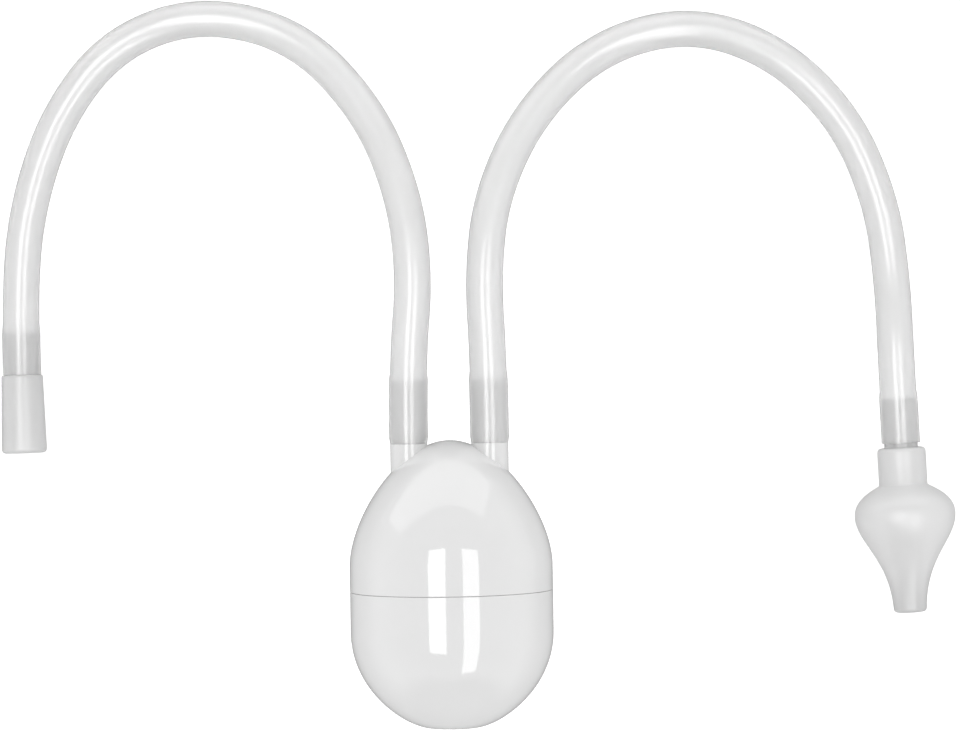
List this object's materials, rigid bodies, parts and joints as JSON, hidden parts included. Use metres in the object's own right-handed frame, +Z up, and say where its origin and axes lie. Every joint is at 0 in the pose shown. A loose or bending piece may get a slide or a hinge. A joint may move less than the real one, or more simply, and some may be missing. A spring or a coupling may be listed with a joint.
{
  "type": "nasal aspirator",
  "caption": "Mouth-powered nasal aspirator: milky capsule-shaped collection chamber with arched soft hoses to a bulbous nasal tip and a short mouthpiece.",
  "frame": {"origin": "on the plane the aspirator lies on, under the middle of the chamber with its two hose spigots", "axes": "+Z up from the plane it lies on, +Y along the chamber's axis towards its hose ports, +X towards the nose hose"},
  "size_m": [0.1841, 0.1404, 0.0385],
  "materials": {
    "chamber_plastic": "glossy milky translucent polypropylene",
    "fitting_plastic": "satin milky translucent polypropylene",
    "hose": "clear soft tubing, glossy",
    "silicone": "matt milky silicone"
  },
  "bodies": {
    "head": {"upper_shell": "chamber_plastic", "seal_ring": "silicone"},
    "cup": {"lower_cup": "chamber_plastic"},
    "valve": {"backflow_valve": "silicone"},
    "mouth_line": {"mouth_hose": "hose"},
    "nose_line": {"nose_hose": "hose"},
    "mouthpiece": {"mouthpiece": "fitting_plastic"},
    "adaptor": {"tip_connector": "fitting_plastic"},
    "tip": {"nasal_tip": "silicone"}
  },
  "joints": [
    {"name": "cup_pull", "type": "slide", "parent": "head", "child": "cup", "axis": [0, -1, 0], "range_m": [0, 0.03]},
    {"name": "valve_pull", "type": "slide", "parent": "head", "child": "valve", "axis": [0, -1, 0], "range_m": [0, 0.006]},
    {"name": "mouth_hose_pull", "type": "slide", "parent": "head", "child": "mouth_line", "axis": [0, 1, 0], "range_m": [0, 0.014]},
    {"name": "nose_hose_pull", "type": "slide", "parent": "head", "child": "nose_line", "axis": [0, 1, 0], "range_m": [0, 0.014]},
    {"name": "mouthpiece_pull", "type": "slide", "parent": "mouth_line", "child": "mouthpiece", "axis": [0.0153, -0.9999, 0], "range_m": [0, 0.01]},
    {"name": "adaptor_pull", "type": "slide", "parent": "nose_line", "child": "adaptor", "axis": [0.041, -0.9992, 0], "range_m": [0, 0.01]},
    {"name": "tip_pull", "type": "slide", "parent": "adaptor", "child": "tip", "axis": [0.041, -0.9992, 0], "range_m": [0, 0.009]}
  ]
}
